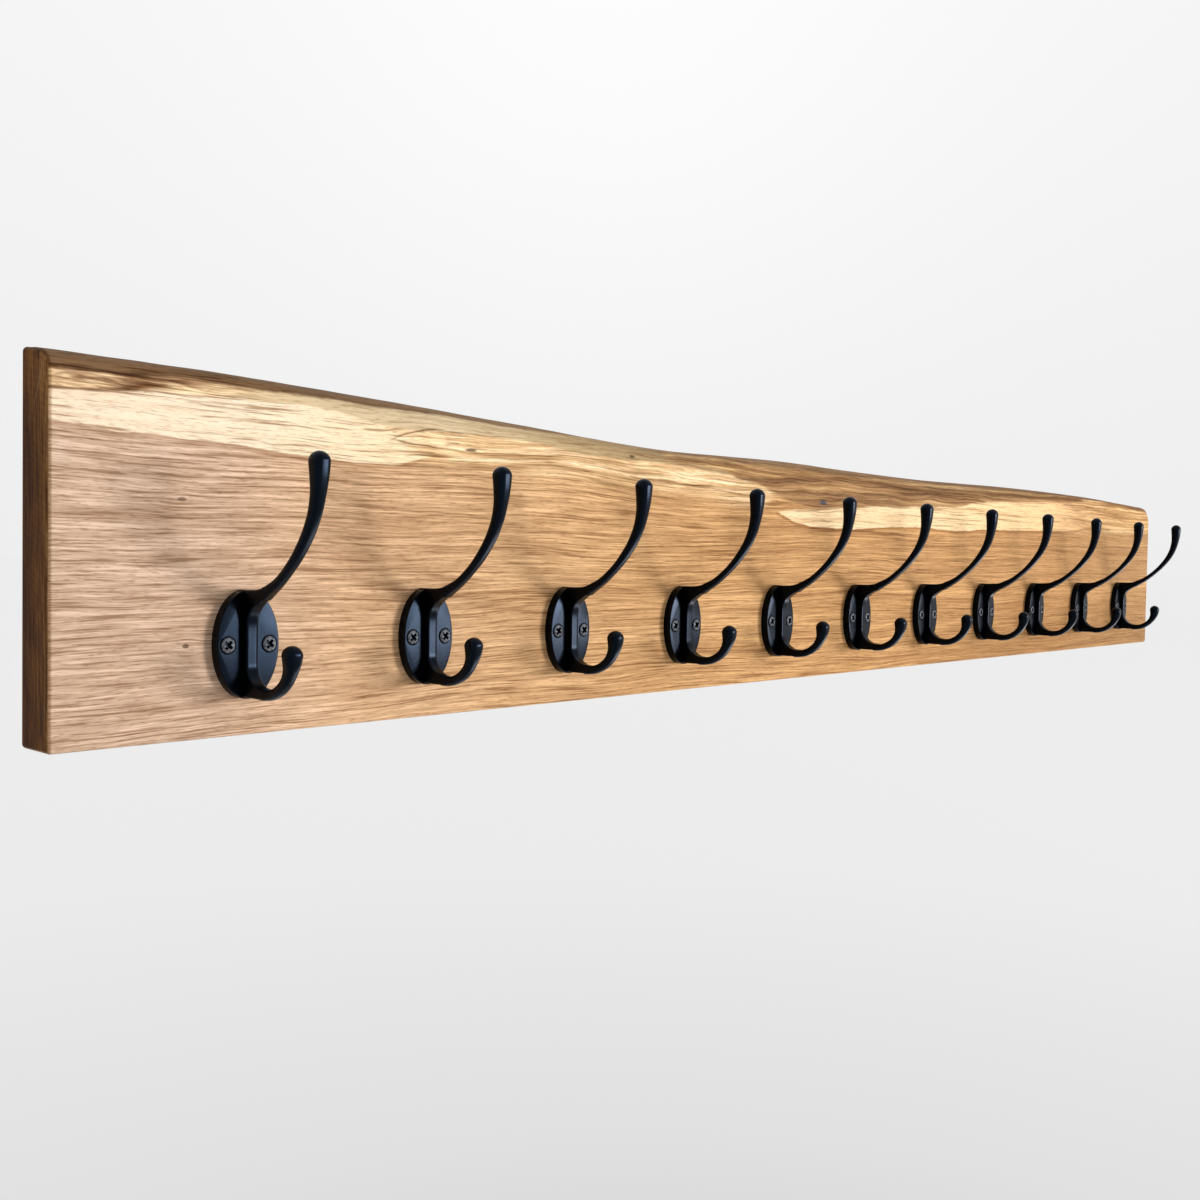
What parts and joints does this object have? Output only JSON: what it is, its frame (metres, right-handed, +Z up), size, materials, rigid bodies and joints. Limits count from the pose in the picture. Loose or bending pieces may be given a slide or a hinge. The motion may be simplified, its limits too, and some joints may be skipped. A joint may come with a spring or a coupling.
{
  "type": "wall coat rack",
  "caption": "Waney-edged oak board with a row of black double coat hooks, hung on a wall by keyhole plates in its back.",
  "frame": {"origin": "centre of the board's back face: mid-length, and 80 mm above the bottom edge, in the wall plane", "axes": "+Y into the wall, +X along the board to the right as seen from the front, +Z up"},
  "size_m": [1.17, 0.0842, 0.1596],
  "materials": {
    "oak": "solid oak with a clear satin oil, pale sapwood along the waney top edge",
    "hook_coating": "black satin powder coat on a casting",
    "black_screw": "black coated steel with a slight grey shine on the head",
    "zinc_steel": "bright zinc-plated steel"
  },
  "bodies": {
    "root": {"board": "oak", "hook_01": "hook_coating", "hook_01_left_screw": "black_screw", "hook_01_right_screw": "black_screw", "hook_02": "hook_coating", "hook_02_left_screw": "black_screw", "hook_02_right_screw": "black_screw", "hook_03": "hook_coating", "hook_03_left_screw": "black_screw", "hook_03_right_screw": "black_screw", "hook_04": "hook_coating", "hook_04_left_screw": "black_screw", "hook_04_right_screw": "black_screw", "hook_05": "hook_coating", "hook_05_left_screw": "black_screw", "hook_05_right_screw": "black_screw", "hook_06": "hook_coating", "hook_06_left_screw": "black_screw", "hook_06_right_screw": "black_screw", "hook_07": "hook_coating", "hook_07_left_screw": "black_screw", "hook_07_right_screw": "black_screw", "hook_08": "hook_coating", "hook_08_left_screw": "black_screw", "hook_08_right_screw": "black_screw", "hook_09": "hook_coating", "hook_09_left_screw": "black_screw", "hook_09_right_screw": "black_screw", "hook_10": "hook_coating", "hook_10_left_screw": "black_screw", "hook_10_right_screw": "black_screw", "hook_11": "hook_coating", "hook_11_left_screw": "black_screw", "hook_11_right_screw": "black_screw", "hanger_1": "zinc_steel", "hanger_1_lower_screw": "zinc_steel", "hanger_1_upper_screw": "zinc_steel", "hanger_2": "zinc_steel", "hanger_2_lower_screw": "zinc_steel", "hanger_2_upper_screw": "zinc_steel", "hanger_3": "zinc_steel", "hanger_3_lower_screw": "zinc_steel", "hanger_3_upper_screw": "zinc_steel"}
  },
  "joints": []
}
